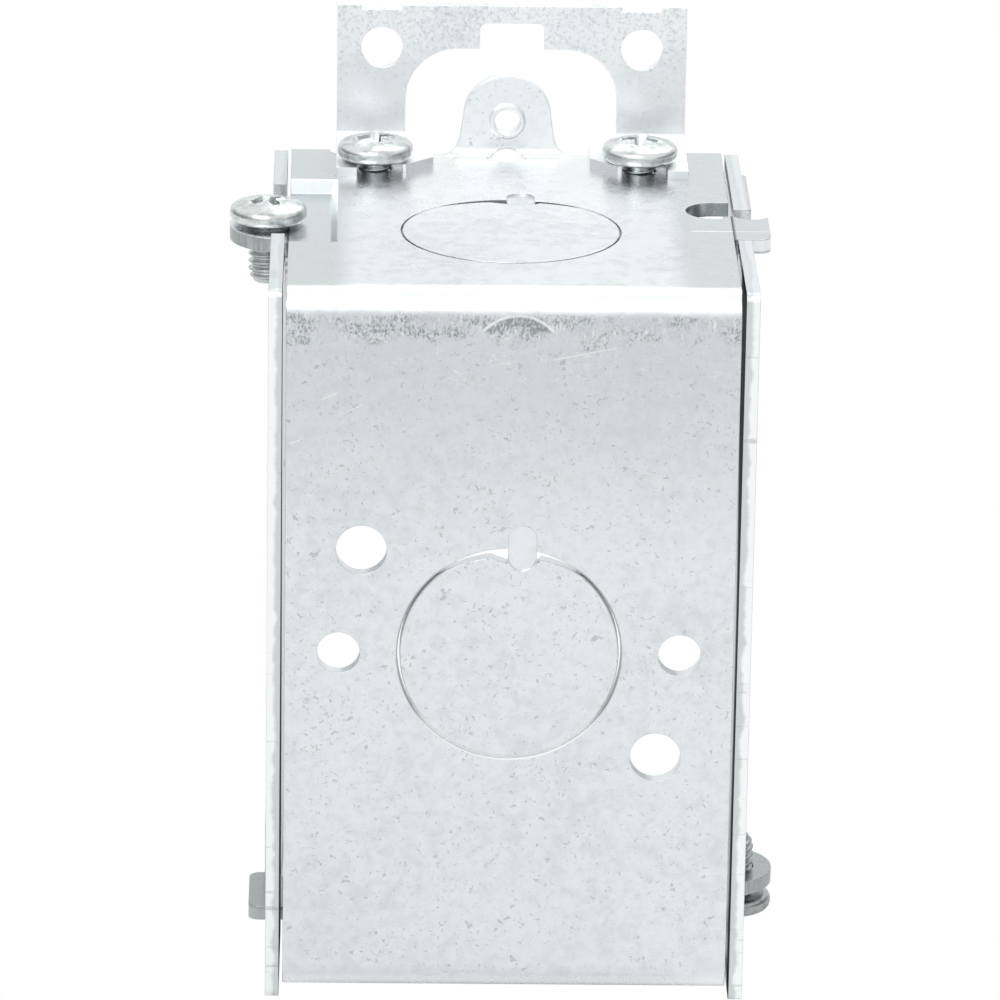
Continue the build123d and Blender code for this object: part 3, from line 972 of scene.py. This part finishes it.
def plain_mesh(maker, name):
    """The evaluated result of an object, as a mesh object of its own."""
    bpy.context.view_layer.update()
    depsgraph = bpy.context.evaluated_depsgraph_get()
    mesh = bpy.data.meshes.new_from_object(maker.evaluated_get(depsgraph), depsgraph=depsgraph)
    bpy.data.objects.remove(maker)
    made = bpy.data.objects.new(name, mesh)
    bpy.context.scene.collection.objects.link(made)
    return made


def make_screw(tree, node, size, recess_turn):
    """The dressed screw for one CAD node, standing where the node stands."""
    low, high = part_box(node)
    diameter, length = size
    maker = bpy.data.objects.new(f"{node}_maker", screw_profile(f"{node}_profile", diameter, length))
    bpy.context.scene.collection.objects.link(maker)
    modifier = maker.modifiers.new("Screw", "NODES")
    modifier.node_group = tree
    modifier[input_name(tree, "Shank Radius")] = diameter / 2
    modifier[input_name(tree, "Recess Turn")] = recess_turn
    made = plain_mesh(maker, f"{node}_threaded")
    middle = (low + high) / 2
    head_seat = low.z + length
    if high.z < 0:
        made.data.transform(Quaternion((0, 1, 0), math.pi).to_matrix().to_4x4())
        head_seat = high.z - length
    for vertex in made.data.vertices:
        vertex.co += Vector((middle.x, middle.y, head_seat))
    return made


def body_of_node(node):
    """The body that a CAD node rides on."""
    groups = frame["record"]["behaviour"]["bodies"]
    return next(body for body, nodes in groups.items() if node in nodes)


def place_piece(made, node):
    """Rides the piece on its node's body and lets it stand for the node."""
    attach(made, body_of_node(node))
    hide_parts(node)


def dress_screws():
    """Bright screws, but for the lower side screw, which takes a darker copy of the finish as painted
    shade.
    """
    bright = screw_tree(zinc_screw_finish("zinc_screw", SCREW_ZINC, SCREW_GREY))
    shaded_screw_tree = screw_tree(zinc_screw_finish("shaded_zinc_screw", SCREW_SHADE_GREY, SCREW_SHADE_DARK))
    for node in ear_screw_names:
        turn = left_ear_screw_turn if "left" in node else right_ear_screw_turn
        made = make_screw(bright, node, ear_screw_size, turn)
        place_piece(made, node)
    for node in gang_screw_names:
        made = make_screw(shaded_screw_tree if "right" in node else bright, node, gang_screw_size, gang_screw_turn)
        place_piece(made, node)


def set_material(node, material):
    """Dresses a CAD node in a material."""
    for slot in frame["nodes"][node].material_slots:
        slot.material = material


def dress_sheets():
    """The folded body, the side plates and the ears."""
    set_material("body", galvanised_sheet())
    plate_finish = plate_sheet_finish()
    for node in ("left_side_plate", "right_side_plate"):
        set_material(node, plate_finish)
    ear_finish = ear_sheet_finish()
    for node in ("top_ear", "bottom_ear"):
        set_material(node, ear_finish)


# Floor, world, lamps and camera

WHITE = (1, 1, 1, 1)
FLOOR_MATT = (0.93, 0.93, 0.93, 1)
floor_half = 3.0
floor_drop = 0.2 * MM

# The tent that gloss sees, by direction: how high its dark parts reach, and where they start at the
# sides and behind the camera

tent_low = falling(0.15, 0.6)
tent_sides = rising(0.55, 0.9)
tent_front = rising(0.8, 0.97, 0.25)
tent_strengths = (1.0, 0.22)
diffuse_strength = 0.72

# Lamps: name, place, diameter and power

lamps = (
    ("high_front", (-0.35, -0.75, 0.9), 0.7, 4.6),
    ("high_back", (0.3, 0.6, 0.8), 0.6, 2.2),
)
lamp_target = Vector((0, -0.02, 0))


def pale_floor():
    """A white floor under the object."""
    material, tree = new_material("pale_floor")
    matt = add_node(tree, "ShaderNodeBsdfDiffuse", {"Color": FLOOR_MATT})
    white = add_node(tree, "ShaderNodeEmission", {"Color": WHITE, "Strength": 1.0})
    seen = add_node(tree, "ShaderNodeLightPath").outputs["Is Camera Ray"]
    shown = add_node(tree, "ShaderNodeMixShader", {0: seen, 1: matt.outputs[0], 2: white.outputs[0]})
    add_node(tree, "ShaderNodeOutputMaterial", {"Surface": shown.outputs[0]})
    z = object_low_z - floor_drop
    corners = [(x * floor_half, y * floor_half, z) for x, y in ((-1, -1), (1, -1), (1, 1), (-1, 1))]
    mesh = bpy.data.meshes.new("floor")
    mesh.from_pydata(corners, [], [(0, 1, 2, 3)])
    mesh.materials.append(material)
    floor = bpy.data.objects.new("floor", mesh)
    bpy.context.scene.collection.objects.link(floor)


def studio_world():
    """White to the camera. Gloss sees a tent, darker low down at both sides and behind the camera."""
    world = bpy.data.worlds.new("studio")
    world.use_nodes = True
    bpy.context.scene.world = world
    tree = world.node_tree
    tree.nodes.clear()
    path = add_node(tree, "ShaderNodeLightPath").outputs
    x, y, z = parted(tree, add_node(tree, "ShaderNodeTexCoord").outputs["Generated"])
    at_side = smooth(tree, absolute(tree, x), tent_sides)
    at_front = smooth(tree, product(tree, y, -1.0), tent_front)
    dark_part = product(tree, largest(tree, at_side, at_front), smooth(tree, z, tent_low))
    gloss = mix_number(tree, dark_part, *tent_strengths)
    strength = mix_number(tree, path["Is Glossy Ray"], diffuse_strength, gloss)
    seen = largest(tree, path["Is Camera Ray"], path["Is Transmission Ray"])
    strength = mix_number(tree, seen, strength, 1.0)
    back = add_node(tree, "ShaderNodeBackground", {"Color": WHITE, "Strength": strength})
    add_node(tree, "ShaderNodeOutputWorld", {"Surface": back.outputs[0]})


def area_lamp(name, place, size, power):
    """A round lamp that faces the object."""
    lamp = bpy.data.lights.new(name, "AREA")
    lamp.shape = "DISK"
    lamp.size = size
    lamp.energy = power
    holder = bpy.data.objects.new(name, lamp)
    bpy.context.scene.collection.objects.link(holder)
    holder.location = place
    holder.rotation_mode = "QUATERNION"
    holder.rotation_quaternion = (lamp_target - Vector(place)).to_track_quat("-Z", "Y")


def studio_camera():
    """The photograph's camera."""
    camera = bpy.data.objects.new("camera", bpy.data.cameras.new("camera"))
    bpy.context.scene.collection.objects.link(camera)
    bpy.context.scene.camera = camera
    camera.data.lens = camera_lens
    camera.data.sensor_width = camera_sensor
    camera.data.clip_start, camera.data.clip_end = camera_clip
    back = Vector((
        math.sin(camera_azimuth) * math.cos(camera_elevation),
        -math.cos(camera_azimuth) * math.cos(camera_elevation),
        math.sin(camera_elevation),
    ))
    camera.location = camera_aim + back * camera_distance
    camera.rotation_mode = "QUATERNION"
    level = (-back).to_track_quat("-Z", "Y")
    camera.rotation_quaternion = Quaternion(-back, camera_roll) @ level


bpy.context.scene.view_settings.view_transform = "Standard"
dress_sheets()
dress_screws()
pale_floor()
studio_world()
for lamp_settings in lamps:
    area_lamp(*lamp_settings)
studio_camera()
